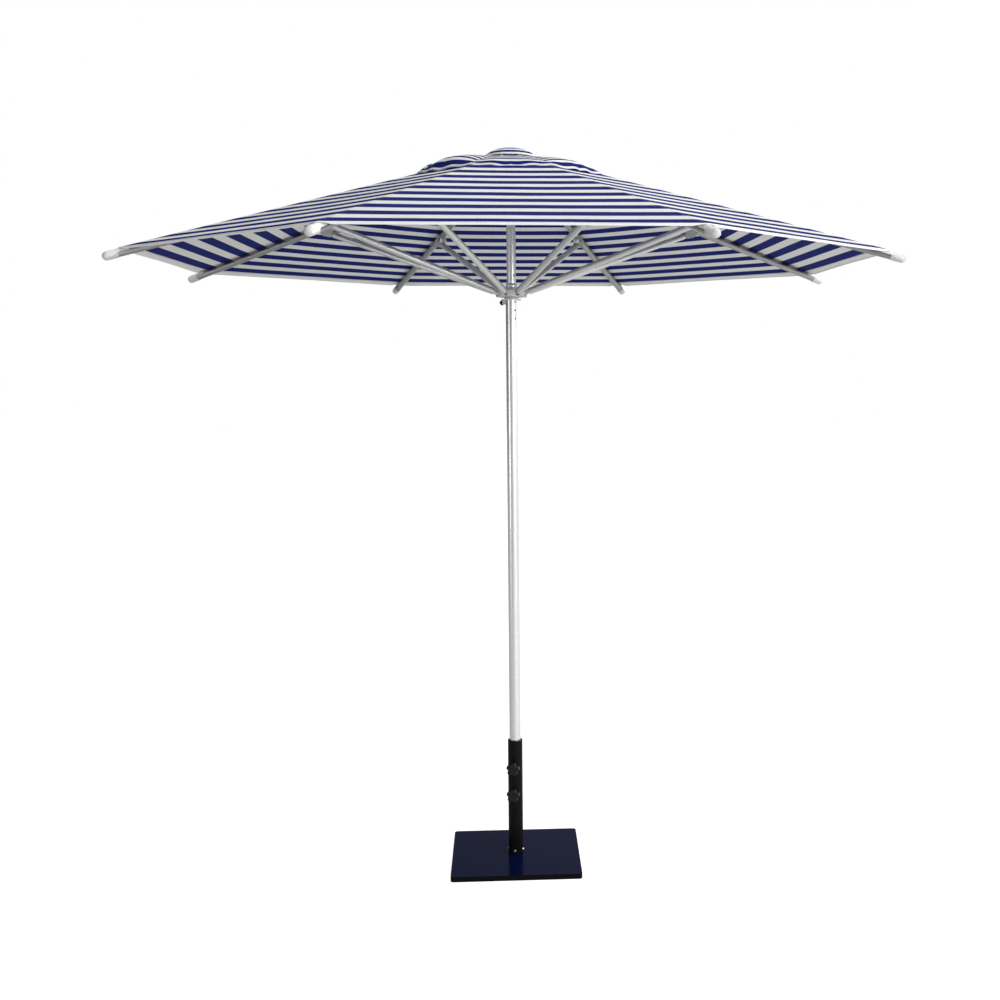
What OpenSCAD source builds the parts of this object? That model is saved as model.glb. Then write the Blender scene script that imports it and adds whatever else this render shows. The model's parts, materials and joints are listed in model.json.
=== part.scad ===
// Patio umbrella with a weighted base: a push-up market umbrella with eight ribs,
// eight struts, a sliding runner, a vented canopy and a steel plate base.
// Origin at the middle of the plate's underside, +Z up, millimetres.

/* [Base] */
// Width of the base plate from left to right
plate_w = 480; // [400:5:600]
// Depth of the base plate from front to back
plate_d = 440; // [400:5:600]
// Thickness of the base plate
plate_t = 20; // [12:1:30]
// Radius of the plate's corners
plate_corner_r = 12; // [2:1:20]
// Height of the stem tube above the plate
stem_h = 440; // [380:5:520]
// Outside diameter of the stem tube
stem_d = 55; // [52:0.5:60]
// Wall of the stem tube
stem_wall = 5; // [3:0.5:5.5]
// Height of the upper clamp knob above the plate
knob_high = 338; // [300:1:360]
// Height of the lower clamp knob above the plate
knob_low = 236; // [150:1:250]
// Turn of both clamp knobs away from the front, towards the left
knob_turn = 12; // [0:1:30]
// Width of a clamp knob over its lobes
knob_d = 50; // [40:1:60]

/* [Pole] */
// Outside diameter of the pole
pole_d = 42; // [40:0.5:42]
// Outside diameter of the pole above the runner
pole_upper_d = 33; // [30:0.5:38]
// Wall of the pole
pole_wall = 1.8; // [1.2:0.1:3]
// Diameter of the lock holes through the pole
lock_hole_d = 8; // [6:0.5:10]

/* [Ribs] */
// Distance from the pole's axis to the centre of a rib's end cap
rib_reach = 1370; // [1300:5:1450]
// Height of the hub pins above the ground
hub_z = 2595; // [2500:5:2650]
// How far the rib's end lies below the hub pins
tip_drop = 390; // [360:5:420]
// Distance from the pole's axis to the hub and runner pins
pin_circle_r = 47; // [46:0.5:50]
// Outside diameter of a rib
rib_d = 25; // [22:0.5:26]
// Wall of the rib and strut tubes
tube_wall = 1.5; // [1:0.1:2.5]
// Diameter of the cap on a rib's end
tip_cap_d = 28; // [27.5:0.5:34]

/* [Struts] */
// Distance along the rib from the hub pin to the strut's bracket
bracket_s = 722; // [650:5:800]
// Distance of the bracket's pin below the rib's axis
bracket_drop = 34; // [33:0.5:38]
// Outside diameter of a strut
strut_d = 22; // [18:0.5:22]
// Diameter of the hinge pins
pin_d = 6; // [5:0.5:7]
// Thickness of the lugs on the ends of the ribs and struts
lug_t = 12; // [10:0.5:12]

/* [Runner] */
// Outside diameter of the runner's lower flange
flange_d = 72; // [60:1:76]
// Turn of the lock pin's knob from the back, towards the left
lock_turn = 36; // [25:1:40]

/* [Canopy] */
// Distance from the pole's axis to a corner of the canopy's hem
hem_r = 1335; // [1280:5:1340]
// Height of the canopy's outer face over the axis of a rib
cloth_over_rib = 17; // [16.5:0.5:20]
// Thickness of the canopy's solid
cloth_t = 3; // [2:0.5:3]
// Distance from the pole's axis to a corner of the canopy's middle opening
opening_r = 225; // [180:5:250]
// Distance from the pole's axis to a corner of the vent cover's hem
vent_r = 345; // [320:5:360]
// Height of the vent cover's hem
vent_hem_z = 2534; // [2532:1:2545]
// Radius of the vent cover's shoulder
shoulder_r = 270; // [240:5:290]
// Height of the vent cover's shoulder
shoulder_z = 2595; // [2590:1:2605]
// Radius of the crown dome
dome_r = 98; // [90:1:110]
// Height of the top of the crown dome
dome_top_z = 2646; // [2640:1:2660]

/* [Hidden] */
$fn = 48;
RIBS = 8;
SPACING = 360 / RIBS;
FIRST_RIB = -90 + SPACING / 2;

// The frame's kinematics: hub pin, bracket pin and runner pin make an isosceles triangle
rib_angle = atan(tip_drop / (rib_reach - pin_circle_r));
rib_len = norm([rib_reach - pin_circle_r, tip_drop]);
strut_len = norm([bracket_s, bracket_drop]);
strut_angle = rib_angle + atan(bracket_drop / bracket_s);
runner_z = hub_z - 2 * strut_len * sin(strut_angle);
fold_travel = 90 - strut_angle;

// Clearances and small sizes that several parts share
pin_play = 0.4;
slot_play = 1.4;
slide_play = 1;
lug_r = 8.5;
lug_reach = 30;
plate_top = plate_t;
stem_bore = stem_d - 2 * stem_wall;
pole_top = hub_z + 17;
slot_w = lug_t + slot_play;
ring_r = 56;
slot_in_r = 36;
pin_len = 26;
screw_head_d = 12;

// Heights of the lock holes: the lock pin lies level with the second from the top
lock_z = runner_z - 31;
LOCK_HOLES = [runner_z + 64, lock_z, lock_z - 30, lock_z - 60];
lock_azimuth = 90 + lock_turn;

// Canopy and vent outlines: distance out along a rib, height
rib_rise = tip_drop / (rib_reach - pin_circle_r);
apex_z = hub_z + rib_rise * pin_circle_r + cloth_over_rib / cos(rib_angle);
panel_gap = 0.6;

function rib_azimuth(i) = FIRST_RIB + (i - 1) * SPACING;
function cloth_z(r) = apex_z - rib_rise * r;

// Puts its children on rib i: +X runs out level, +Z stays up, the pole's axis is X = 0
module on_rib(i) {
    rotate([0, 0, rib_azimuth(i)]) children();
}

// Puts its children on rib i's own axis: +X runs from the hub pin to the rib's end
module along_rib(i) {
    on_rib(i) translate([pin_circle_r, 0, hub_z]) rotate([0, rib_angle, 0]) children();
}

// A cylinder along Y, centred on its own middle
module cross_cylinder(d, length) {
    rotate([90, 0, 0]) cylinder(d = d, h = length, center = true);
}

// A tube's end lug with its round eye at X = 0, ending in the tube's own diameter
module lug(tube_d) {
    difference() {
        union() {
            cross_cylinder(2 * lug_r, lug_t);
            translate([0, -lug_t / 2, -lug_r]) cube([lug_reach, lug_t, 2 * lug_r]);
            translate([lug_reach - 4, 0, 0]) rotate([0, 90, 0]) cylinder(d = tube_d, h = 12);
        }
        cross_cylinder(pin_d + pin_play, lug_t + 2);
    }
}

// A hollow tube along X between two distances
module tube_x(d, from, to) {
    difference() {
        translate([from, 0, 0]) rotate([0, 90, 0]) cylinder(d = d, h = to - from);
        translate([from - 1, 0, 0]) rotate([0, 90, 0])
            cylinder(d = d - 2 * tube_wall, h = to - from + 2);
    }
}

// Hinge pins of the hub or of the runner, one across each slot
module pin_ring(z) {
    for (i = [1 : RIBS])
        on_rib(i) translate([pin_circle_r, 0, z]) cross_cylinder(pin_d, pin_len);
}

// Slots for the lugs, cut out of the ring between two heights
module lug_slots(bottom, top) {
    for (i = [1 : RIBS])
        on_rib(i) translate([slot_in_r, -slot_w / 2, bottom]) cube([ring_r, slot_w, top - bottom]);
}

module base_plate() {
    x_edge = plate_w / 2 - plate_corner_r;
    y_edge = plate_d / 2 - plate_corner_r;
    color("midnightblue") union() {
        translate([-plate_w / 2, -y_edge, 0]) cube([plate_w, 2 * y_edge, plate_t]);
        translate([-x_edge, -plate_d / 2, 0]) cube([2 * x_edge, plate_d, plate_t]);
        for (x = [-x_edge, x_edge], y = [-y_edge, y_edge])
            translate([x, y, 0]) cylinder(r = plate_corner_r, h = plate_t);
    }
}

// Threaded bosses for the two clamp knobs stand on the stem's front
module stem_tube() {
    boss_d = 24;
    boss_reach = stem_d / 2 + 6;
    thread_d = 10;
    color("black") difference() {
        union() {
            translate([0, 0, plate_top]) cylinder(d = stem_d, h = stem_h);
            for (h = [knob_high, knob_low])
                on_knob(h) cylinder(d = boss_d, h = boss_reach);
        }
        translate([0, 0, plate_top - 1]) cylinder(d = stem_bore, h = stem_h + 2);
        for (h = [knob_high, knob_low])
            on_knob(h) cylinder(d = thread_d + pin_play, h = boss_reach + 1);
        on_screw_seats() cylinder(d = screw_head_d, h = 2);
    }
}

// Puts its children on a clamp knob's axis: +Z points out of the stem
module on_knob(height) {
    translate([0, 0, plate_top + height]) rotate([0, 0, -knob_turn]) rotate([90, 0, 0]) children();
}

// Puts its children on the flat seats of the stem's screws: +Z points out of the stem
module on_screw_seats() {
    seat_depth = 0.7;
    seat_z = plate_top + 12;
    for (k = [0 : 3])
        rotate([0, 0, -90 - knob_turn + 90 * k]) translate([stem_d / 2 - seat_depth, 0, seat_z])
            rotate([0, 90, 0]) children();
}

// Button-head screws that hold the stem on its plug
module stem_screws() {
    head_h = 4;
    color("dimgray") on_screw_seats() cylinder(d1 = screw_head_d, d2 = screw_head_d - 4, h = head_h);
}

// A five-lobed hand knob on its clamp screw
module clamp_knob(height) {
    lobes = 5;
    lobe_d = 18;
    lobe_turn = 83;
    knob_h = 18;
    cap_h = 3;
    stand_off = stem_d / 2 + 9;
    screw_start = pole_d / 2 + 0.4;
    screw_d = 10;
    on_knob(height) {
        translate([0, 0, screw_start]) cylinder(d = screw_d, h = stand_off - screw_start + 2);
        translate([0, 0, stand_off]) {
            cylinder(d = knob_d - lobe_d + 4, h = knob_h);
            for (k = [0 : lobes - 1])
                rotate([0, 0, lobe_turn + k * 360 / lobes]) translate([(knob_d - lobe_d) / 2, 0, 1])
                    cylinder(d = lobe_d, h = knob_h - 2);
            translate([0, 0, knob_h - 1]) cylinder(d = lobe_d, h = cap_h + 1);
        }
    }
}

module clamp_knob_upper() {
    color("black") clamp_knob(knob_high);
}

module clamp_knob_lower() {
    color("black") clamp_knob(knob_low);
}

// Tube that is drawn in to a smaller diameter above the raised runner
module pole() {
    shoulder = 8;
    step_z = runner_z + 28;
    color("whitesmoke") difference() {
        union() {
            translate([0, 0, plate_top]) cylinder(d = pole_d, h = step_z - plate_top);
            translate([0, 0, step_z]) cylinder(d1 = pole_d, d2 = pole_upper_d, h = shoulder);
            translate([0, 0, step_z]) cylinder(d = pole_upper_d, h = pole_top - step_z);
        }
        translate([0, 0, plate_top - 1])
            cylinder(d = pole_d - 2 * pole_wall, h = step_z - plate_top);
        translate([0, 0, plate_top])
            cylinder(d = pole_upper_d - 2 * pole_wall, h = pole_top - plate_top + 1);
        for (z = LOCK_HOLES)
            translate([0, 0, z]) rotate([0, 0, lock_azimuth]) rotate([0, 90, 0])
                cylinder(d = lock_hole_d, h = 2 * pole_d, center = true);
    }
}

// Slotted ring on the pole's top that carries the ribs
module top_hub() {
    core_top = 13;
    core_bottom = -16;
    roof = 9.5;
    color("white") difference() {
        union() {
            translate([0, 0, hub_z + core_bottom])
                cylinder(r = slot_in_r - 2, h = core_top - core_bottom);
            translate([0, 0, hub_z - 11]) cylinder(r = ring_r, h = core_top + 11);
        }
        lug_slots(hub_z - 12, hub_z + roof);
        translate([0, 0, hub_z + core_bottom - 1])
            cylinder(d = pole_upper_d, h = core_top - core_bottom + 2);
        pin_ring(hub_z);
    }
}

module hub_pins() {
    color("silver") pin_ring(hub_z);
}

// Domed cover over the hub, with a boss that stands on the pole's top
module crown_dome() {
    rise = 31;
    rim_z = dome_top_z - rise;
    shell = 3;
    sphere_r = (dome_r * dome_r + rise * rise) / (2 * rise);
    boss_r = pole_upper_d / 2 - 0.5;
    color("whitesmoke") union() {
        difference() {
            translate([0, 0, dome_top_z - sphere_r]) sphere(r = sphere_r, $fn = 96);
            translate([0, 0, dome_top_z - sphere_r]) sphere(r = sphere_r - shell, $fn = 96);
            translate([0, 0, rim_z - 2 * sphere_r]) cylinder(r = 2 * sphere_r, h = 2 * sphere_r);
        }
        translate([0, 0, pole_top]) cylinder(r = boss_r, h = dome_top_z - shell / 2 - pole_top);
    }
}

// Sliding collar that carries the struts, with a lug under its flange for the lock pin
module runner() {
    sleeve_h = 24;
    bottom_plate = -13;
    ring_top = 11;
    flange_t = 4;
    lug_w = 16;
    lug_from = pole_d / 2 + slide_play;
    lug_to = 46;
    color("white") difference() {
        union() {
            translate([0, 0, runner_z - sleeve_h]) cylinder(d = pole_d + 9, h = 2 * sleeve_h);
            translate([0, 0, runner_z + bottom_plate]) cylinder(r = ring_r, h = ring_top - bottom_plate);
            translate([0, 0, runner_z - sleeve_h]) cylinder(d = flange_d, h = flange_t);
            rotate([0, 0, lock_azimuth]) translate([lug_from, -lug_w / 2, lock_z - 7])
                cube([lug_to - lug_from, lug_w, 15]);
        }
        translate([0, 0, runner_z - 2 * sleeve_h]) cylinder(d = pole_d + slide_play, h = 4 * sleeve_h);
        lug_slots(runner_z - 9.5, runner_z + ring_top + 1);
        pin_ring(runner_z);
        translate([0, 0, lock_z]) rotate([0, 0, lock_azimuth]) rotate([0, 90, 0])
            cylinder(d = lock_hole_d - 0.2, h = lug_to + 1);
    }
}

module runner_pins() {
    color("silver") pin_ring(runner_z);
}

// Lock pin with a round knob: pulled out to free the runner
module lock_pin() {
    pin_from = pole_d / 2 + 0.9;
    knob_from = 50;
    knob_w = 20;
    knob_h = 14;
    color("black") translate([0, 0, lock_z]) rotate([0, 0, lock_azimuth]) rotate([0, 90, 0]) {
        translate([0, 0, pin_from]) cylinder(d = lock_hole_d - 0.8, h = knob_from - pin_from + 1);
        translate([0, 0, knob_from]) cylinder(d1 = knob_w - 6, d2 = knob_w, h = knob_h / 2);
        translate([0, 0, knob_from + knob_h / 2]) cylinder(d1 = knob_w, d2 = knob_w - 6, h = knob_h / 2);
    }
}

module rib(i) {
    color("whitesmoke") along_rib(i) {
        lug(rib_d);
        tube_x(rib_d, lug_reach + 6, rib_len - 16);
    }
}

// Saddle clamped round the rib, with two half-moon cheeks that hold the strut's pin
module rib_bracket(i) {
    saddle_len = 56;
    saddle_wall = 2.5;
    saddle_x = 12;
    cheek_r = 30;
    cheek_z = -8;
    cheek_t = 2.5;
    cheek_gap = strut_d + 0.8;
    cheek_out = cheek_gap + 2 * cheek_t;
    eye_r = 9;
    head_d = 9;
    head_t = 1;
    color("silver") along_rib(i) translate([bracket_s, 0, 0]) {
        difference() {
            union() {
                translate([saddle_x, 0, 0]) rotate([0, 90, 0])
                    cylinder(d = rib_d + 2 * saddle_wall, h = saddle_len, center = true);
                translate([saddle_x, 0, cheek_z]) cross_cylinder(2 * cheek_r, cheek_out);
                translate([0, 0, -bracket_drop]) cross_cylinder(2 * eye_r, cheek_out);
            }
            translate([saddle_x, 0, 0]) rotate([0, 90, 0])
                cylinder(d = rib_d, h = saddle_len + 8, center = true);
            translate([-saddle_len, -rib_d, 0]) cube([3 * saddle_len, 2 * rib_d, 2 * rib_d]);
            translate([-saddle_len, -cheek_gap / 2, -2 * bracket_drop])
                cube([3 * saddle_len, cheek_gap, 2 * bracket_drop - rib_d / 2 - saddle_wall]);
            translate([0, 0, -bracket_drop]) cross_cylinder(pin_d, cheek_out + 2);
        }
        translate([0, 0, -bracket_drop]) {
            cross_cylinder(pin_d, cheek_out);
            for (s = [-1, 1])
                translate([0, s * (cheek_out + head_t) / 2, 0]) cross_cylinder(head_d, head_t);
        }
    }
}

// Cap pushed over the rib's end
module tip_cap(i) {
    cap_len = 34;
    grip = 18;
    color("white") along_rib(i) difference() {
        union() {
            translate([rib_len - cap_len, 0, 0]) rotate([0, 90, 0]) cylinder(d = tip_cap_d, h = cap_len);
            translate([rib_len, 0, 0]) sphere(d = tip_cap_d);
        }
        translate([rib_len - cap_len - 1, 0, 0]) rotate([0, 90, 0]) cylinder(d = rib_d, h = grip + 1);
    }
}

// A full-width round end for a tube, with its eye at X = 0
module round_end(tube_d) {
    plug_reach = 34;
    difference() {
        union() {
            cross_cylinder(tube_d - 3, tube_d);
            translate([7, 0, 0]) rotate([0, 90, 0]) cylinder(d = tube_d, h = plug_reach - 7);
        }
        cross_cylinder(pin_d + pin_play, tube_d + 2);
    }
}

// Strut from the runner's pin to the bracket's pin
module strut(i) {
    color("silver") on_rib(i) translate([pin_circle_r, 0, runner_z]) rotate([0, -strut_angle, 0]) {
        lug(strut_d);
        tube_x(strut_d, lug_reach + 6, strut_len - lug_reach);
        translate([strut_len, 0, 0]) rotate([0, 0, 180]) round_end(strut_d);
    }
}

// A closed sheet on rib i: a row of points out along the rib with the gore's middle on both
// sides. path: [distance along the rib, height] pairs; mid: how far in the gore's middle lies.
module rib_sheet(i, path, mid) {
    n = len(path);
    half = SPACING / 2;
    function side_point(p, k, s, dz) =
        let (r = p[0] * cos(half) - mid[k], a = s * half)
        [r * cos(a) + panel_gap * sin(half), r * sin(a) - s * panel_gap * cos(half), p[1] - dz];
    rows = [for (dz = [0, cloth_t]) for (k = [0 : n - 1])
        each [side_point(path[k], k, -1, dz), [path[k][0], 0, path[k][1] - dz],
              side_point(path[k], k, 1, dz)]];
    low = 3 * n;
    // Quads between row k and row k + 1, as two triangles each, on the top and on the underside
    top = [for (k = [0 : n - 2], c = [0, 1]) let (a = 3 * k + c)
        each [[a, a + 3, a + 1], [a + 1, a + 3, a + 4]]];
    bottom = [for (t = top) [t[0] + low, t[2] + low, t[1] + low]];
    sides = [for (k = [0 : n - 2]) let (a = 3 * k, b = 3 * k + 2)
        each [[a, a + low, a + 3 + low, a + 3], [b, b + 3, b + 3 + low, b + low]]];
    last = 3 * (n - 1);
    ends = [for (c = [0, 1])
        each [[c, c + 1, c + 1 + low, c + low],
              [last + c, last + c + low, last + c + 1 + low, last + c + 1]]];
    on_rib(i) polyhedron(points = rows, faces = concat(top, bottom, sides, ends));
}

module canopy_panel(i) {
    color("lightsteelblue")
        rib_sheet(i, [[opening_r, cloth_z(opening_r)], [hem_r, cloth_z(hem_r)]], [0, 0]);
}

module vent_panel(i) {
    inner_r = (dome_r + 4) / cos(SPACING / 2);
    inner_z = shoulder_z + 10;
    color("lightsteelblue")
        rib_sheet(i, [[inner_r, inner_z], [shoulder_r, shoulder_z], [vent_r, vent_hem_z]], [0, 0, 0]);
}

base_plate();
stem_tube();
stem_screws();
clamp_knob_upper();
clamp_knob_lower();
pole();
top_hub();
hub_pins();
crown_dome();
runner();
runner_pins();
lock_pin();
for (i = [1 : RIBS]) {
    rib(i);
    rib_bracket(i);
    tip_cap(i);
    strut(i);
    canopy_panel(i);
    vent_panel(i);
}
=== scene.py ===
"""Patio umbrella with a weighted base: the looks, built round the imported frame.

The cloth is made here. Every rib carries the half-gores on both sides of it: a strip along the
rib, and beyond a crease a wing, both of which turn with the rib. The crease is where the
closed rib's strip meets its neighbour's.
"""
import json
import math

import bpy
from mathutils import Matrix, Vector


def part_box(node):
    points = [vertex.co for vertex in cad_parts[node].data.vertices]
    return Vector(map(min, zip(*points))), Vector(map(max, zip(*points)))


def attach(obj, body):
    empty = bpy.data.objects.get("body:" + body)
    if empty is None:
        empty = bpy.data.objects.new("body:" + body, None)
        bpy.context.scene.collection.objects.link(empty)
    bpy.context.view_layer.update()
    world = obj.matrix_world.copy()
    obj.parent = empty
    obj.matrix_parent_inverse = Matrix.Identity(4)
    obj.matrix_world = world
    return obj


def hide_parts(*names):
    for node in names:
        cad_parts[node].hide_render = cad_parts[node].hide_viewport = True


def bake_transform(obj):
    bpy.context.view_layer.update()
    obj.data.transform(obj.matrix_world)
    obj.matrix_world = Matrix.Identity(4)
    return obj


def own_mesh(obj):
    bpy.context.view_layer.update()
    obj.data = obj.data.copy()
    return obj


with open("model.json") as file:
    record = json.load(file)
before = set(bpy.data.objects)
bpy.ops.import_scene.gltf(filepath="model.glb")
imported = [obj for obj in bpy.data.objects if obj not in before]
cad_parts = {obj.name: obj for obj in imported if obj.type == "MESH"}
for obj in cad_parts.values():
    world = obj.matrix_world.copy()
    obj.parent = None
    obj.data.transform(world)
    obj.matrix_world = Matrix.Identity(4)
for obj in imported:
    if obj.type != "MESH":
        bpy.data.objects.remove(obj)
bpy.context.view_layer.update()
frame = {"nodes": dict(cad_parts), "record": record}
record = frame["record"]

# ---------------------------------------------------------------- sizes, read from the frame

MM = 0.001
RIBS = 8
HALF = math.pi / RIBS
COS_HALF, SIN_HALF, TAN_HALF = math.cos(HALF), math.sin(HALF), math.tan(HALF)
JOINTS = {j["name"]: j for j in record["behaviour"]["joints"]}
FOLD = math.radians(JOINTS["fold"]["range_deg"][1])
PIVOT_R = math.hypot(*JOINTS["fold"]["pos_m"][:2])
PIVOT_Z = JOINTS["fold"]["pos_m"][2]

panel_low, panel_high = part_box("canopy_panel_1")
vent_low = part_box("vent_panel_1")[0]
dome_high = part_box("crown_dome")[1]

SHEET_T = 3 * MM
# Distances from the pole's axis: _R along a rib, _U along the middle of a gore
HEM_U = -panel_low.y
HEM_R = HEM_U / COS_HALF
OPEN_U = -panel_high.y / math.sin(2 * HALF)
OPEN_R = OPEN_U / COS_HALF
HEM_Z = panel_low.z + SHEET_T
OPEN_Z = panel_high.z
# How far the canopy falls for each metre outwards along a rib
RISE = (OPEN_Z - HEM_Z) / (HEM_R - OPEN_R)
APEX_Z = OPEN_Z + RISE * OPEN_R
# Length of cloth for each metre outwards along a gore's middle
SLANT = math.hypot(1, RISE / COS_HALF)
VENT_U = -vent_low.y
VENT_HEM_Z = vent_low.z + SHEET_T - 3.5 * MM
DOME_R = dome_high.x
DOME_TOP = dome_high.z - 11.5 * MM
DOME_DROP = 31 * MM


def rib_azimuth(i):
    """Where rib i points, from +X, anticlockwise seen from above."""
    x, y = JOINTS["fold" if i == 1 else f"fold_{i}"]["pos_m"][:2]
    return math.atan2(y, x)


# ---------------------------------------------------------------- camera, floor and lights

CAMERA_AT = Vector((-0.033, -4.472, 1.863))
CAMERA_PITCH = 6.326
CAMERA_YAW = 3.587
CAMERA_ROLL = -0.126
CAMERA_LENS = 43.81
CAMERA_SHIFT_X = -0.08


def make_camera():
    data = bpy.data.cameras.new("camera")
    data.lens = CAMERA_LENS
    data.sensor_width = 36
    data.shift_x = CAMERA_SHIFT_X
    data.clip_end = 60
    camera = bpy.data.objects.new("camera", data)
    bpy.context.scene.collection.objects.link(camera)
    turn = (Matrix.Rotation(math.radians(-CAMERA_YAW), 4, "Z")
            @ Matrix.Rotation(math.radians(90 - CAMERA_PITCH), 4, "X")
            @ Matrix.Rotation(math.radians(CAMERA_ROLL), 4, "Z"))
    camera.matrix_world = Matrix.Translation(CAMERA_AT) @ turn
    bpy.context.scene.camera = camera


def area_light(name, at, towards, size, power):
    data = bpy.data.lights.new(name, "AREA")
    data.shape = "DISK"
    data.size = size
    data.energy = power
    lamp = bpy.data.objects.new(name, data)
    bpy.context.scene.collection.objects.link(lamp)
    lamp.location = at
    lamp.rotation_euler = (Vector(towards) - Vector(at)).to_track_quat("-Z", "Y").to_euler()


# How much the studio's walls and floor light the object, from the left to the right
WALL_LIGHT = (0.06, 1.25)
FLOOR_LIGHT = (0.12, 0.46)
WALL_TURN = 0.75
FLOOR_TURN = 2.5
FLOOR_HALF = 30.0
FLOOR_GREY = (0.42, 0.42, 0.42)
FLOOR_SEEN = 0.95
# Name, place, what it points at, diameter and power
LAMPS = (("overhead", (1.6, -1.2, 6.2), (0, 0, 2.2), 4.0, 70),
         ("key", (3.4, -4.4, 2.6), (0, 0, 1.9), 2.0, 108),
         ("fill", (-4.6, -3.0, 1.6), (0, 0, 1.9), 2.4, 30))


def make_studio():
    """A white room. To camera rays its walls and floor are white. To all other rays they grow
    brighter from the left to the right, so that the tubes get a dark and a bright side."""
    world = bpy.data.worlds.new("studio")
    bpy.context.scene.world = world
    world.use_nodes = True
    tree = world.node_tree
    background = tree.nodes["Background"]
    background.inputs["Color"].default_value = (1.0, 1.0, 1.0, 1)
    seen = tree.nodes.new("ShaderNodeLightPath").outputs["Is Camera Ray"]
    parts = tree.nodes.new("ShaderNodeSeparateXYZ")
    way = tree.nodes.new("ShaderNodeTexCoord").outputs["Generated"]
    tree.links.new(way, parts.inputs["Vector"])
    light = ramp(tree, parts.outputs["X"], -WALL_TURN, WALL_TURN, *WALL_LIGHT)
    shown = math_node(tree, "MAXIMUM", light, seen)
    tree.links.new(shown, background.inputs["Strength"])
    bpy.context.scene.view_settings.view_transform = "Standard"

    half = FLOOR_HALF
    mesh = bpy.data.meshes.new("studio_floor")
    corners = [(-half, -half, 0), (half, -half, 0), (half, half, 0), (-half, half, 0)]
    mesh.from_pydata(corners, [], [(0, 1, 2, 3)])
    floor = bpy.data.objects.new("studio_floor", mesh)
    bpy.context.scene.collection.objects.link(floor)
    mat, tree, shader = new_material("studio_floor", FLOOR_GREY, 0.95)
    shader.inputs["Emission Color"].default_value = (1.0, 1.0, 1.0, 1)
    seen = tree.nodes.new("ShaderNodeLightPath").outputs["Is Camera Ray"]
    parts = tree.nodes.new("ShaderNodeSeparateXYZ")
    tree.links.new(object_coords(tree), parts.inputs["Vector"])
    light = ramp(tree, parts.outputs["X"], -FLOOR_TURN, FLOOR_TURN, *FLOOR_LIGHT)
    lifted = math_node(tree, "MULTIPLY", seen, FLOOR_SEEN)
    tree.links.new(math_node(tree, "MAXIMUM", light, lifted), shader.inputs["Emission Strength"])
    mesh.materials.append(mat)

    for lamp in LAMPS:
        area_light(*lamp)


# ---------------------------------------------------------------- materials

def new_material(name, colour, roughness, metallic=0.0):
    mat = bpy.data.materials.new(name)
    mat.use_nodes = True
    tree = mat.node_tree
    shader = tree.nodes["Principled BSDF"]
    shader.inputs["Base Color"].default_value = (*colour, 1)
    shader.inputs["Roughness"].default_value = roughness
    shader.inputs["Metallic"].default_value = metallic
    return mat, tree, shader


def math_node(tree, operation, a, b=None, c=None):
    node = tree.nodes.new("ShaderNodeMath")
    node.operation = operation
    for socket, value in zip(node.inputs, (a, b, c)):
        if value is None:
            continue
        if isinstance(value, (int, float)):
            socket.default_value = value
        else:
            tree.links.new(value, socket)
    return node.outputs[0]


def ramp(tree, value, low, high, to_low=0.0, to_high=1.0):
    """value from low..high to to_low..to_high, clamped and smooth."""
    node = tree.nodes.new("ShaderNodeMapRange")
    node.interpolation_type = "SMOOTHSTEP"
    tree.links.new(value, node.inputs["Value"])
    node.inputs["From Min"].default_value = low
    node.inputs["From Max"].default_value = high
    node.inputs["To Min"].default_value = to_low
    node.inputs["To Max"].default_value = to_high
    return node.outputs["Result"]


def mix_colour(tree, share, a, b):
    node = tree.nodes.new("ShaderNodeMix")
    node.data_type = "RGBA"
    for socket, value in ((node.inputs[0], share), (node.inputs[6], a), (node.inputs[7], b)):
        if isinstance(value, tuple):
            socket.default_value = (*value, 1)
        elif isinstance(value, (int, float)):
            socket.default_value = value
        else:
            tree.links.new(value, socket)
    return node.outputs[2]


def noise(tree, vector, scale, detail=2.0, stretch=None):
    if stretch:
        mapping = tree.nodes.new("ShaderNodeMapping")
        mapping.inputs["Scale"].default_value = stretch
        tree.links.new(vector, mapping.inputs["Vector"])
        vector = mapping.outputs["Vector"]
    node = tree.nodes.new("ShaderNodeTexNoise")
    node.inputs["Scale"].default_value = scale
    node.inputs["Detail"].default_value = detail
    tree.links.new(vector, node.inputs["Vector"])
    return node.outputs["Fac"]


def object_coords(tree):
    return tree.nodes.new("ShaderNodeTexCoord").outputs["Object"]


def bump(tree, shader, height, distance, strength=1.0):
    node = tree.nodes.new("ShaderNodeBump")
    node.inputs["Distance"].default_value = distance
    node.inputs["Strength"].default_value = strength
    tree.links.new(height, node.inputs["Height"])
    tree.links.new(node.outputs["Normal"], shader.inputs["Normal"])


def cloth_coords(tree):
    """The cloth's own two directions in metres: across the gore, and up it from the hem."""
    uv = tree.nodes.new("ShaderNodeUVMap")
    uv.uv_map = "cloth"
    parts = tree.nodes.new("ShaderNodeSeparateXYZ")
    tree.links.new(uv.outputs["UV"], parts.inputs["Vector"])
    return uv.outputs["UV"], parts.outputs["X"], parts.outputs["Y"]


THREAD = 1.3 * MM


def weave(tree, x, y, pitch=THREAD):
    """Height of a plain weave, from 0 to 1."""
    turns = 2 * math.pi / pitch
    warp = math_node(tree, "SINE", math_node(tree, "MULTIPLY", x, turns))
    weft = math_node(tree, "SINE", math_node(tree, "MULTIPLY", y, turns))
    return math_node(tree, "MULTIPLY_ADD", math_node(tree, "MULTIPLY", warp, weft), 0.5, 0.5)


# Pitch of the stripes, and where the first blue one's middle lies, up from the hem. Each face
# of the cloth and each tier has its own, as in the photo.
STRIPE_PITCH = 100 * MM
STRIPE_SHARE = 0.53
FIRST_STRIPE = 30 * MM
LINING_PITCH = 76 * MM
FIRST_LINING_STRIPE = 52 * MM
DOME_STRIPES = (13 * MM, 31 * MM)
VENT_STRIPES = (16 * MM, 38 * MM)
WHITE_CLOTH = (0.79, 0.79, 0.775)
BLUE_CLOTH = (0.006, 0.013, 0.125)
HEM_CLOTH = (0.86, 0.86, 0.85)
# This darkens the lining's colours, and gives the hem tape's inner faces a darker white: painted
# shade on the cloth's underside
UNDERSIDE_PAINTED_SHADE = 0.98


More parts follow.
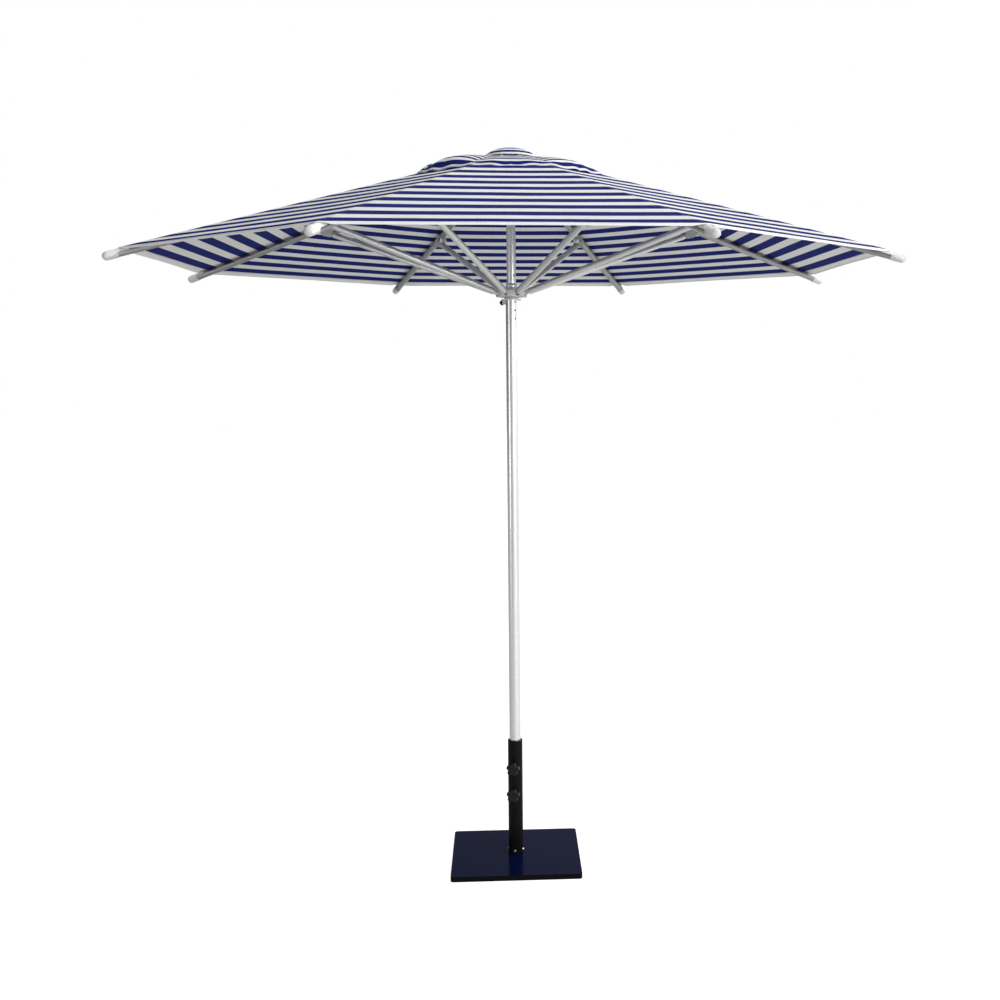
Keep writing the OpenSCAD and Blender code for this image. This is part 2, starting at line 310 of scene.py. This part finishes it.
def cloth_material(name, offset=FIRST_STRIPE, pitch=STRIPE_PITCH, shade=1.0):
    """Woven stripes that run along the gore's hem, and a stitched seam over the rib. shade
    darkens all the colours for the lining, the cloth's underside, as painted shade."""
    # shade scales the white and the blue: painted shade on the lining
    plain = tuple(shade * v for v in WHITE_CLOTH)
    blue_cloth = tuple(shade * v for v in BLUE_CLOTH)
    mat, tree, shader = new_material(name, plain, 0.85)
    uv, x, y = cloth_coords(tree)
    slubs = noise(tree, uv, 1.0, 3.0, (260, 26, 1))
    cloud = noise(tree, uv, 5.0, 3.0)
    light = mix_colour(tree, ramp(tree, cloud, 0.3, 0.7), plain, tuple(0.94 * v for v in plain))
    colour = mix_colour(tree, ramp(tree, slubs, 0.35, 0.75, 0, 0.35), light,
                        tuple(0.86 * v for v in plain))
    phase = math_node(tree, "DIVIDE", math_node(tree, "SUBTRACT", y, offset), pitch)
    wrapped = math_node(tree, "FRACT", math_node(tree, "ADD", phase, 0.5))
    off_centre = math_node(tree, "ABSOLUTE", math_node(tree, "SUBTRACT", wrapped, 0.5))
    edge = 1.0 * MM / pitch
    stripe = ramp(tree, off_centre, STRIPE_SHARE / 2 - edge, STRIPE_SHARE / 2 + edge, 1, 0)
    past_hem = math_node(tree, "GREATER_THAN", y, max(offset - pitch / 2, 2 * MM))
    stripe = math_node(tree, "MULTIPLY", stripe, past_hem)
    blue = mix_colour(tree, ramp(tree, slubs, 0.3, 0.75), blue_cloth,
                      tuple(1.3 * v for v in blue_cloth))
    colour = mix_colour(tree, stripe, colour, blue)
    seam, thread = seam_lines(tree)
    colour = mix_colour(tree, math_node(tree, "MULTIPLY", thread, 0.6), colour,
                        tuple(0.45 * v for v in plain))
    tree.links.new(colour, shader.inputs["Base Color"])
    rough = ramp(tree, slubs, 0.2, 0.8, 0.78, 0.92)
    tree.links.new(rough, shader.inputs["Roughness"])
    shader.inputs["Sheen Weight"].default_value = 0.008
    shader.inputs["Sheen Roughness"].default_value = 0.5
    shader.inputs["Specular IOR Level"].default_value = 0.05
    height = math_node(tree, "MULTIPLY_ADD", slubs, 0.6, weave(tree, x, y))
    height = math_node(tree, "MULTIPLY_ADD", seam, 6.0, height)
    bump(tree, shader, height, 0.25 * MM, 0.6)
    return mat


def seam_lines(tree):
    """The felled seam over a rib and its two rows of stitches, from the distance to the rib."""
    uv = tree.nodes.new("ShaderNodeUVMap")
    uv.uv_map = "edge"
    parts = tree.nodes.new("ShaderNodeSeparateXYZ")
    tree.links.new(uv.outputs["UV"], parts.inputs["Vector"])
    across, along = parts.outputs["X"], parts.outputs["Y"]
    seam = ramp(tree, across, 6.5 * MM, 8 * MM, 1, 0)
    row = ramp(tree, math_node(tree, "ABSOLUTE", math_node(tree, "SUBTRACT", across, 5 * MM)),
               0.3 * MM, 0.7 * MM, 1, 0)
    beat = math_node(tree, "FRACT", math_node(tree, "DIVIDE", along, 3.6 * MM))
    stitch = ramp(tree, math_node(tree, "ABSOLUTE", math_node(tree, "SUBTRACT", beat, 0.5)),
                  0.30, 0.38, 1, 0)
    return seam, math_node(tree, "MULTIPLY", row, stitch)


def tape_material(name, colour=HEM_CLOTH, stitch_gap=3.2 * MM):
    """Hem tape and webbing: a ribbed tape with one row of stitches near an edge."""
    mat, tree, shader = new_material(name, colour, 0.8)
    uv, x, y = cloth_coords(tree)
    rib_turns = 2 * math.pi / (1.1 * MM)
    ribbing = math_node(tree, "SINE", math_node(tree, "MULTIPLY", x, rib_turns))
    along = math_node(tree, "FRACT", math_node(tree, "DIVIDE", x, stitch_gap))
    stitch = ramp(tree, math_node(tree, "ABSOLUTE", math_node(tree, "SUBTRACT", along, 0.5)),
                  0.28, 0.36, 1, 0)
    row = ramp(tree, math_node(tree, "ABSOLUTE", math_node(tree, "SUBTRACT", y, 4 * MM)),
               0.4 * MM, 0.7 * MM, 1, 0)
    thread = math_node(tree, "MULTIPLY", stitch, row)
    soiling = noise(tree, uv, 14.0, 3.0)
    base = mix_colour(tree, ramp(tree, soiling, 0.35, 0.75), colour,
                      tuple(0.93 * v for v in colour))
    tree.links.new(mix_colour(tree, thread, base, tuple(0.8 * v for v in colour)),
                   shader.inputs["Base Color"])
    shader.inputs["Sheen Weight"].default_value = 0.1
    height = math_node(tree, "MULTIPLY_ADD", thread, 2.0, math_node(tree, "MULTIPLY", ribbing, 0.4))
    bump(tree, shader, height, 0.3 * MM, 0.6)
    return mat


def metal_material(name, colour, roughness, metallic, grain=(40, 40, 4), wear=0.12,
                   specular=0.5):
    """Drawn or coated metal: fine streaks along Z, and small marks."""
    mat, tree, shader = new_material(name, colour, roughness, metallic)
    where = object_coords(tree)
    streaks = noise(tree, where, 6.0, 2.0, grain)
    marks = noise(tree, where, 55.0, 5.0)
    shade = math_node(tree, "MULTIPLY_ADD", ramp(tree, marks, 0.55, 0.8), 0.6,
                      math_node(tree, "MULTIPLY", ramp(tree, streaks, 0.3, 0.7), 0.4))
    tree.links.new(mix_colour(tree, shade, colour, tuple((1 - wear) * v for v in colour)),
                   shader.inputs["Base Color"])
    tree.links.new(ramp(tree, streaks, 0.3, 0.7, roughness * 0.85, roughness * 1.2),
                   shader.inputs["Roughness"])
    shader.inputs["Specular IOR Level"].default_value = specular
    bump(tree, shader, streaks, 0.02 * MM, 0.1)
    return mat


def moulded_material(name, colour, roughness, grain=0.06 * MM, specular=0.5):
    """Moulded plastic: a fine even texture, and patches of a slightly different tone."""
    mat, tree, shader = new_material(name, colour, roughness)
    shader.inputs["Specular IOR Level"].default_value = specular
    where = object_coords(tree)
    texture = noise(tree, where, 900.0, 2.0)
    patches = noise(tree, where, 30.0, 3.0)
    tree.links.new(mix_colour(tree, ramp(tree, patches, 0.35, 0.7), colour,
                              tuple(0.9 * v + 0.004 for v in colour)),
                   shader.inputs["Base Color"])
    tree.links.new(ramp(tree, patches, 0.3, 0.7, roughness * 0.9, roughness * 1.15),
                   shader.inputs["Roughness"])
    bump(tree, shader, texture, grain, 0.5)
    return mat


def plate_material():
    """Gloss navy paint on the top, near-black paint with a rougher cut on the edges."""
    top, side = (0.0020, 0.0050, 0.036), (0.006, 0.006, 0.007)
    mat, tree, shader = new_material("plate_paint", top, 0.16)
    shader.inputs["Specular IOR Level"].default_value = 0.016
    where = object_coords(tree)
    normal = tree.nodes.new("ShaderNodeNewGeometry").outputs["Normal"]
    parts = tree.nodes.new("ShaderNodeSeparateXYZ")
    tree.links.new(normal, parts.inputs["Vector"])
    is_top = ramp(tree, parts.outputs["Z"], 0.55, 0.8)
    dust = noise(tree, where, 22.0, 6.0)
    specks = ramp(tree, noise(tree, where, 420.0, 2.0), 0.72, 0.8)
    painted = mix_colour(tree, math_node(tree, "MULTIPLY", specks, 0.3), top, (0.02, 0.022, 0.04))
    colour = mix_colour(tree, is_top, side, painted)
    tree.links.new(colour, shader.inputs["Base Color"])
    gloss = math_node(tree, "MULTIPLY_ADD", ramp(tree, dust, 0.35, 0.75), 0.10, 0.12)
    rough = math_node(tree, "MULTIPLY_ADD", math_node(tree, "SUBTRACT", 1.0, is_top), 0.35, gloss)
    tree.links.new(rough, shader.inputs["Roughness"])
    ridges = noise(tree, where, 60.0, 3.0, (1, 1, 6))
    bump(tree, shader, ridges, 0.08 * MM, 0.35)
    return mat


# ---------------------------------------------------------------- mesh helpers

def grid_faces(rows, columns):
    """Quads of a grid whose points run along the columns first."""
    faces = []
    for r in range(rows - 1):
        for c in range(columns - 1):
            a = r * columns + c
            faces.append((a, a + 1, a + columns + 1, a + columns))
    return faces


def mesh_area(obj):
    return sum(p.area for p in obj.data.polygons)


def on_rib(azimuth, point):
    """From a rib's own frame (x out along the rib, y anticlockwise) to the row frame."""
    c, s = math.cos(azimuth), math.sin(azimuth)
    x, y, z = point
    return Vector((x * c - y * s, x * s + y * c, z))


def smooth_step(t):
    t = min(max(t, 0.0), 1.0)
    return t * t * (3 - 2 * t)


def ripple(x, y):
    """Height of slow waves that run through all the cloth, between about -1.5 and 1.5."""
    return (math.sin(9.1 * x + 2.3 * y + 0.7) * math.sin(7.3 * y - 3.1 * x + 1.9)
            + 0.5 * math.sin(23.0 * x - 11.0 * y) * math.sin(19.0 * y + 5.0 * x + 0.4))


# ---------------------------------------------------------------- the crease planes

CREASE_GAP = 1.5 * MM


def crease_plane(side, gap=CREASE_GAP):
    """In a rib's frame at rest: (a point on, the normal of) the plane that turns into the plane
    half-way to the next rib once the canopy is closed. side is 1 or -1."""
    pivot = Vector((PIVOT_R, 0, PIVOT_Z))
    back = Matrix.Rotation(-FOLD, 3, "Y")
    normal = back @ Vector((-SIN_HALF, side * COS_HALF, 0))
    anchor = pivot + back @ (Vector((0, 0, PIVOT_Z)) - pivot) - normal * gap
    return anchor, normal


LINING = 1.0 * MM

# The places of the cloth materials in CLOTHS
(CANOPY_CLOTH, CANOPY_LINING, HEM_TAPE, DOME_CLOTH, DOME_LINING, NARROW_TAPE, VENT_CLOTH,
 VENT_LINING, TAPE_PAINTED_SHADE) = range(9)


def crossing(surface, row, side, plane):
    """Where along a row, from 0 at the rib to 1 at the gore's middle, the crease lies."""
    anchor, normal = plane
    low, high = 0.0, 1.0
    if (surface(row, 1.0, side)[0] - anchor).dot(normal) < 0:
        return 1.0
    for _ in range(24):
        middle = (low + high) / 2
        if (surface(row, middle, side)[0] - anchor).dot(normal) > 0:
            high = middle
        else:
            low = middle
    return low


def cloth_patch(surface, azimuth, rows, spans):
    """A closed thin sheet in the row frame: the cloth, and its lining 1 mm below. spans holds for
    each row its across values, from -1 to 1, where the sign is the side of the rib."""
    columns = len(spans[0])
    points, uvs, edges = [], [], []
    for drop in (0.0, LINING):
        for row, span in zip(rows, spans):
            for across in span:
                side = -1 if across < 0 else 1
                point, uv, edge = surface(row, abs(across), side)
                points.append(on_rib(azimuth, point - Vector((0, 0, drop))))
                uvs.append(uv)
                edges.append(edge)
    quads = grid_faces(len(rows), columns)
    low = len(rows) * columns
    faces = [tuple(reversed(q)) for q in quads] + [tuple(v + low for v in q) for q in quads]
    kinds = [0] * len(quads) + [1] * len(quads)
    last = low - columns
    rim = (list(range(columns)) + list(range(2 * columns - 1, low, columns))
           + list(range(low - 2, last - 1, -1)) + list(range(last - columns, 0, -columns)))
    for here, there in zip(rim, rim[1:] + rim[:1]):
        faces.append((here, there, there + low, here + low))
        kinds.append(0)
    return [points, uvs, edges, faces, kinds]


def dress(patch, cloths):
    """Gives a bare patch its own outer cloth and lining."""
    patch[4] = [cloths[k] for k in patch[4]]


# The faces of a hem's section from this one on look down and inward, and take a darker white as
# painted shade
PAINTED_SHADE_FROM = 7


def add_tape(patch, azimuth, surface, row, span, section, kind):
    """A folded tape along one row of a patch. section: points that close on themselves, as
    (distance inboard, height) in millimetres. The deep hem rises over the rib's end."""
    points, uvs, edges, faces, kinds = patch
    first = len(points)
    away = row - 0.03 if row > 0.5 else row + 0.03
    for across in span:
        side = -1 if across < 0 else 1
        edge, (along, _), _ = surface(row, abs(across), side)
        inner, _, _ = surface(away, abs(across), side)
        inboard = (inner - edge).normalized()
        clear = smooth_step((abs(edge.y) - 13 * MM) / (26 * MM)) if kind == HEM_TAPE else 1
        run, last = 0.0, None
        for inset, rise in section:
            fall = rise if rise > -2 else -2 + (rise + 2) * clear
            p = edge + inboard * inset * MM + Vector((0, 0, fall * MM))
            run += (p - last).length if last else 0.0
            last = p
            points.append(on_rib(azimuth, p))
            uvs.append((along, run))
            edges.append((1.0, along))
    size = len(section)
    for c in range(len(span) - 1):
        for k in range(size):
            a, b = first + c * size + k, first + c * size + (k + 1) % size
            faces.append((a, b, b + size, a + size))
            # Faces from that point on take the darker tape: painted shade
            kinds.append(TAPE_PAINTED_SHADE if k >= PAINTED_SHADE_FROM else kind)


def lay_uvs(mesh, name, uvs):
    """A UV layer from one pair for each point."""
    layer = mesh.uv_layers.new(name=name)
    for loop in mesh.loops:
        layer.data[loop.index].uv = uvs[loop.vertex_index]


def cloth_piece(name, patch, body):
    """Makes a patch into a mesh object. body is None for a piece that rides on no body."""
    points, uvs, edges, faces, kinds = patch
    mesh = bpy.data.meshes.new(name)
    mesh.from_pydata([tuple(p) for p in points], [], faces)
    lay_uvs(mesh, "cloth", uvs)
    for mat in CLOTHS:
        mesh.materials.append(mat)
    for polygon, kind in zip(mesh.polygons, kinds):
        polygon.use_smooth = True
        polygon.material_index = kind
    mesh.validate()
    mesh.update()
    mesh.set_sharp_from_angle(angle=math.radians(50))
    obj = bpy.data.objects.new(name, mesh)
    bpy.context.scene.collection.objects.link(obj)
    if body:
        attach(obj, body)
    lay_uvs(mesh, "edge", edges)
    return obj


def spread(start, end, count):
    return [start + (end - start) * k / (count - 1) for k in range(count)]


def make_tier(name, surface_on, rows, nodes, columns, tapes, cloths, flat_width, flat_length):
    """One tier of the cover: on each rib a strip, and a wing on each side beyond the crease."""
    for i in range(1, RIBS + 1):
        surface = surface_on(i)
        azimuth = rib_azimuth(i)
        planes = {side: crease_plane(side) for side in (-1, 1)}
        cuts = {side: [crossing(surface, r, side, planes[side]) for r in rows] for side in planes}
        spans = [spread(-cuts[-1][k], 0, 7)[:-1] + spread(0, cuts[1][k], 7)
                 for k in range(len(rows))]
        strip = cloth_patch(surface, azimuth, rows, spans)
        dress(strip, cloths)
        for row, section, kind in tapes:
            index = 0 if row < 0.5 else -1
            ends = (-cuts[-1][index], cuts[1][index])
            add_tape(strip, azimuth, surface, row, spread(*ends, 17), section, kind)
        obj = cloth_piece(f"{name}_strip_{i}", strip, f"rib_{i}")
        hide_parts(f"{nodes}_{i}")
        finish_sheet(obj, flat_width, flat_length, f"rib_{i}")
        for side in (-1, 1):
            spans = [spread(-1.0, -cut, columns) if side < 0 else spread(cut, 1.0, columns)
                     for cut in cuts[side]]
            wing = cloth_patch(surface, azimuth, rows, spans)
            dress(wing, cloths)
            for row, section, kind in tapes:
                span = spans[0 if row < 0.5 else -1]
                add_tape(wing, azimuth, surface, row, spread(span[0], span[-1], 2 * columns),
                         section, kind)
            obj = cloth_piece(f"{name}_wing_{i}_{'left' if side > 0 else 'right'}", wing,
                              f"rib_{i}")
            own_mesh(obj)
            finish_sheet(obj, flat_width, flat_length, f"rib_{i}")


# The flat sizes that are given, width by length, in metres: round numbers. A canopy piece is
# given as long as the middle of its gore.
CANOPY_FLAT_WIDTH = 0.52
VENT_FLAT = (0.10, 0.29)
CROWN_FLAT = (0.12, 0.09)
WEDGE_FLAT = (0.08, 0.11)
CUFF_FLAT = (0.055, 0.075)
STRAP_FLAT = (0.022, 0.19)


def finish_sheet(obj, width, length, rests_on):
    """Measures half of a closed thin piece's surface. A width that can't be right for that area is
    worked out from it."""
    area = mesh_area(obj) / 2
    if not 0.35 < area / (width * length) < 1:
        width = 1.05 * area / length


# ---------------------------------------------------------------- the main canopy

SAG = 2 * MM
HEM_CURVE = 7 * MM
CANOPY_ROWS = 36


def canopy_surface(row, across, side):
    """The main canopy in a rib's frame. row runs from 0 at the opening to 1 at the hem, across
    from 0 at the rib to 1 at the gore's middle."""
    inward = 1 - (1 - across) ** 2
    u = OPEN_U + (HEM_U - HEM_CURVE * inward - OPEN_U) * row
    y = u * TAN_HALF * (1 - across)
    out, over = u * COS_HALF + y * SIN_HALF, side * (u * SIN_HALF - y * COS_HALF)
    z = APEX_Z - RISE / COS_HALF * u
    z -= SAG * inward * math.sin(math.pi * min(row * 1.15, 1) * 0.72)
    z += 0.5 * MM * inward * ripple(u, side * y)
    from_rib = (u * TAN_HALF - y) * COS_HALF
    return Vector((out, over, z)), (side * y, (HEM_U - u) * SLANT), (from_rib, u)


HEM_SECTION = [(5.0, 0.5), (3.0, 0.8), (1.5, 0.9), (0.2, 0.3), (-0.6, -2.0), (-0.8, -4.0),
               (-0.6, -5.8), (0.4, -6.8), (1.6, -6.2), (2.0, -4.5), (4.0, -3.4), (10.0, -2.6),
               (24.0, -2.2)]
OPENING_SECTION = [(16.0, 0.9), (2.0, 1.2), (-0.5, 0.0), (-0.5, -1.2), (2.0, -2.4), (16.0, -2.2)]


# ---------------------------------------------------------------- the vent cover and the dome

VENT_PROFILE = [(0.060, 0.0800), (0.100, 0.0640), (0.155, 0.0535), (0.210, 0.0400),
                (0.260, 0.0270), (0.300, 0.0160), (0.328, 0.0070), (0.345, 0.0)]
VENT_SCALE = VENT_U / COS_HALF / VENT_PROFILE[-1][0]
# How high and how far out the cover bulges in each gore, in millimetres; gore k follows rib k
PUFF = {1: (13, 14), 2: (12, 12), 3: (15, 12), 4: (14, 11), 5: (17, 12), 6: (24, 15),
        7: (21, 16), 8: (6, 6)}


def along_profile(profile, share):
    """A point on a path of points, by its share of the path's points."""
    place = share * (len(profile) - 1)
    k = min(int(place), len(profile) - 2)
    t = place - k
    before = profile[max(k - 1, 0)]
    after = profile[min(k + 2, len(profile) - 1)]
    out = []
    for a, b, c, d in zip(before, profile[k], profile[k + 1], after):
        out.append(0.5 * (2 * b + (c - a) * t + (2 * a - 5 * b + 4 * c - d) * t * t
                          + (3 * b - a - 3 * c + d) * t ** 3))
    return out


def vent_surface_on(i):
    """The vent cover in rib i's frame: tight over the rib, and puffed up between the ribs."""
    def surface(row, across, side):
        gore = i if side > 0 else (i - 2) % RIBS + 1
        up, outward = PUFF[gore]
        r, z = along_profile(VENT_PROFILE, row)
        u = r * VENT_SCALE * COS_HALF
        full = 1 - (1 - across) ** 2.4
        swell = smooth_step((row - 0.10) / 0.55)
        hem = smooth_step((row - 0.62) / 0.38) ** 2
        u += outward * MM * full * swell
        z += up * MM * full * swell * (1 - hem) - 5 * MM * full * hem
        z += 3.0 * MM * hem * full * math.sin(2.6 * math.pi * across + 1.3 * gore)
        u += 2.5 * MM * swell * full * math.sin(2.2 * math.pi * across + 2.1 * gore)
        y = u * TAN_HALF * (1 - across)
        out, over = u * COS_HALF + y * SIN_HALF, side * (u * SIN_HALF - y * COS_HALF)
        from_rib = (u * TAN_HALF - y) * COS_HALF
        up_from_hem = (VENT_RUN[-1] - run_at(row)) * (1 + 0.1 * full)
        return Vector((out, over, VENT_HEM_Z + z)), (side * y, up_from_hem), (from_rib, u)
    return surface


def profile_run(count=60):
    """Distance along the vent's rib profile, at even shares of it."""
    total, last, runs = 0.0, None, []
    for k in range(count + 1):
        r, z = along_profile(VENT_PROFILE, k / count)
        if last:
            total += math.hypot(r - last[0], z - last[1])
        last = (r, z)
        runs.append(total)
    return runs


VENT_RUN = profile_run()


def run_at(share):
    place = share * (len(VENT_RUN) - 1)
    k = min(int(place), len(VENT_RUN) - 2)
    return VENT_RUN[k] + (VENT_RUN[k + 1] - VENT_RUN[k]) * (place - k)


VENT_SECTION = [(4.0, 0.7), (1.5, 0.9), (0.2, 0.4), (-0.5, -0.8), (-0.7, -2.4), (-0.5, -3.6),
                (0.2, -4.4), (1.2, -4.0), (1.8, -3.0), (3.0, -2.3), (12.0, -2.0)]
VENT_SPLIT = 0.26


def make_vent():
    """The outer part turns with the ribs like the main canopy. The inner part is fixed in place, on
    no body."""
    outer = [VENT_SPLIT + (1 - VENT_SPLIT) * r for r in row_list(22)]
    make_tier("vent", vent_surface_on, outer, "vent_panel", 12, [(1.0, VENT_SECTION, NARROW_TAPE)],
              (VENT_CLOTH, VENT_LINING), *VENT_FLAT)
    inner = [VENT_SPLIT * r for r in row_list(8)]
    for i in range(1, RIBS + 1):
        azimuth = rib_azimuth(i)
        vent_surface = vent_surface_on(i)
        patch = cloth_patch(vent_surface, azimuth, inner, [spread(-1, 1, 17) for _ in inner])
        dress(patch, (VENT_CLOTH, VENT_LINING))
        obj = cloth_piece(f"vent_crown_{i}", patch, None)
        start, _, _ = vent_surface(0.0, 0.0, 1)
        end, _, _ = vent_surface(VENT_SPLIT, 0.0, 1)
        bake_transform(obj)
        finish_sheet(obj, *CROWN_FLAT, "top_hub")


def dome_surface(row, across, side):
    """The dome over the hub, in a rib's frame."""
    u = DOME_R * row * (1 - (1 - COS_HALF) * (0.3 + 0.4 * across))
    z = DOME_TOP - DOME_DROP * (0.25 * row ** 2 + 0.75 * row ** 2.6)
    angle = HALF * across * side
    y = u * math.tan(HALF * (1 - across))
    return (Vector((u * math.cos(angle), u * math.sin(angle), z)), (y, DOME_R * 1.1 * (1 - row)),
            (u * abs(math.sin(angle)), u))


DOME_SECTION = [(4.0, 0.7), (1.5, 0.9), (0.2, 0.4), (-0.5, -0.6), (-0.7, -2.0), (-0.5, -3.4),
                (0.2, -4.2), (1.2, -3.8), (1.8, -2.8), (3.0, -2.2), (9.0, -1.9)]


def make_dome():
    """Sewn from eight wedges, with a turned hem."""
    for i in range(1, RIBS + 1):
        rows = [0.02 + 0.98 * r for r in row_list(14)]
        patch = cloth_patch(dome_surface, rib_azimuth(i), rows, [spread(-1, 1, 13) for _ in rows])
        dress(patch, (DOME_CLOTH, DOME_LINING))
        add_tape(patch, rib_azimuth(i), dome_surface, 1.0, spread(-1, 1, 17), DOME_SECTION,
                 NARROW_TAPE)
        obj = cloth_piece(f"dome_wedge_{i}", patch, "pole")
        if i == 1:
            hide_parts("crown_dome")
        finish_sheet(obj, *WEDGE_FLAT, "top_hub")


# ---------------------------------------------------------------- small sewn parts

def swept(name, azimuth, stations, loops, body, kind, width, length, rests_on):
    """A closed thin band. loops holds for each station (r, z) a loop of (across, height)."""
    points, uvs, edges, faces = [], [], [], []
    run = 0.0
    for k, ((r, z), loop) in enumerate(zip(stations, loops)):
        if k:
            run += math.hypot(r - stations[k - 1][0], z - stations[k - 1][1])
        around = 0.0
        for m, (y, dz) in enumerate(loop):
            if m:
                around += math.hypot(y - loop[m - 1][0], dz - loop[m - 1][1])
            points.append(on_rib(azimuth, (r, y, z + dz)))
            uvs.append((run, around))
            edges.append((1.0, run))
    size = len(loops[0])
    for k in range(len(stations) - 1):
        for m in range(size):
            a, b = k * size + m, k * size + (m + 1) % size
            faces.append((a, b, b + size, a + size))
    for start in (0, (len(stations) - 1) * size):
        for m in range(size // 2 - 1):
            faces.append((start + m, start + m + 1, start + size - 2 - m, start + size - 1 - m))
    patch = [points, uvs, edges, faces, [kind] * len(faces)]
    obj = cloth_piece(name, patch, body)
    finish_sheet(obj, width, length, rests_on)
    return obj


# A cuff's ends, and where the cap that it covers starts to round off, from the hem outwards
CUFF_FROM = -30 * MM
CUFF_TO = 42 * MM
CUFF_ROUNDS = 33 * MM
CUFF_RADIUS = 14.4 * MM
# A strap's ends, its depth under the canopy's own slope, and its section (across, height)
STRAP_FROM = 80 * MM
STRAP_PAST = 30 * MM
STRAP_BELOW = 3.3 * MM
STRAP_LOOP = [(-10 * MM, -1.5 * MM), (0, 0.2 * MM), (10 * MM, -1.5 * MM),
              (10 * MM, -2.5 * MM), (0, -0.9 * MM), (-10 * MM, -2.5 * MM)]


def cuff_loop(radius, spread_deg, thick=1.1 * MM):
    """The section of a cuff that lies over the top of a rib's cap."""
    turns = [math.radians(a) for a in spread(-spread_deg, spread_deg, 15)]
    outside = [((radius + thick) * math.sin(t), (radius + thick) * math.cos(t)) for t in turns]
    inside = [(radius * math.sin(t), radius * math.cos(t)) for t in reversed(turns)]
    return outside + inside


def make_cuff(i):
    """A cuff of narrow tape over the cap at corner i, closing over the cap's round end."""
    stations, loops = [], []
    for r in spread(HEM_R + CUFF_FROM, HEM_R + CUFF_TO, 13):
        past_cap = max(0.0, r - HEM_R - CUFF_ROUNDS)
        radius = math.sqrt(max(CUFF_RADIUS ** 2 - past_cap ** 2, 1e-8))
        stations.append((r, PIVOT_Z - RISE * (r - PIVOT_R)))
        loops.append(cuff_loop(radius, 78 + 32 * smooth_step((r - HEM_R) / (20 * MM))))
    swept(f"corner_cuff_{i}", rib_azimuth(i), stations, loops, f"rib_{i}", NARROW_TAPE,
          *CUFF_FLAT, f"rib_{i}")


def make_strap(i):
    """A webbing strap over rib i, from the canopy's opening to the hub."""
    stations = [(r, APEX_Z - RISE * r - STRAP_BELOW)
                for r in spread(STRAP_FROM, OPEN_R + STRAP_PAST, 14)]
    swept(f"strap_{i}", rib_azimuth(i), stations, [STRAP_LOOP] * len(stations), f"rib_{i}",
          NARROW_TAPE, *STRAP_FLAT, f"rib_{i}")


def row_list(count):
    return [r / (count - 1) for r in range(count)]


make_camera()
make_studio()

# The lining materials are darkened copies of the outer cloths, and the last tape gives the hem
# tape's inner faces a darker white: painted shade on faces that look down
CLOTHS = (cloth_material("striped_cloth"),
          cloth_material("striped_lining_painted_shade", FIRST_LINING_STRIPE, LINING_PITCH, UNDERSIDE_PAINTED_SHADE),
          tape_material("hem_tape"),
          cloth_material("dome_cloth", *DOME_STRIPES),
          cloth_material("dome_lining_painted_shade", *DOME_STRIPES, UNDERSIDE_PAINTED_SHADE),
          tape_material("narrow_tape", (0.78, 0.78, 0.77)),
          cloth_material("vent_cloth", *VENT_STRIPES),
          cloth_material("vent_lining_painted_shade", *VENT_STRIPES, UNDERSIDE_PAINTED_SHADE),
          tape_material("tape_painted_shade", tuple(UNDERSIDE_PAINTED_SHADE * v for v in WHITE_CLOTH)))
make_tier("canopy", lambda i: canopy_surface, row_list(CANOPY_ROWS), "canopy_panel", 16,
          [(1.0, HEM_SECTION, HEM_TAPE), (0.0, OPENING_SECTION, NARROW_TAPE)],
          (CANOPY_CLOTH, CANOPY_LINING), CANOPY_FLAT_WIDTH, SLANT * (HEM_U - OPEN_U))
make_vent()
make_dome()
for rib in range(1, RIBS + 1):
    make_cuff(rib)
    make_strap(rib)

MATERIALS = {
    "base_paint": plate_material(),
    "stem_paint": metal_material("stem_paint", (0.004, 0.004, 0.005), 0.38, 0.0, specular=0.10),
    "steel": metal_material("pin_steel", (0.60, 0.61, 0.62), 0.3, 1.0),
    "black_plastic": moulded_material("black_plastic", (0.008, 0.008, 0.009), 0.4, specular=0.25),
    "pole_coat": metal_material("pole_coat", (0.88, 0.88, 0.88), 0.28, 0.9, (30, 30, 1.5), 0.05),
    "frame_alloy": metal_material("frame_alloy", (0.68, 0.68, 0.67), 0.40, 1.0, (9, 9, 9), 0.03),
    "white_nylon": moulded_material("white_nylon", (0.62, 0.62, 0.61), 0.42),
}
# The rib tubes are seen darker than the struts, mostly through shade: their darker copy of the
# frame alloy is painted shade
RIB_TUBES = [f"rib_{i}" for i in range(1, RIBS + 1)]
RIB_ALLOY_PAINTED_SHADE = metal_material("rib_alloy", (0.36, 0.36, 0.355), 0.40, 1.0, (9, 9, 9), 0.04)
for row in record["subparts"]:
    mat = RIB_ALLOY_PAINTED_SHADE if row["node"] in RIB_TUBES else MATERIALS.get(row["material_slot"])
    if mat:
        mesh = frame["nodes"][row["node"]].data
        mesh.materials.clear()
        mesh.materials.append(mat)
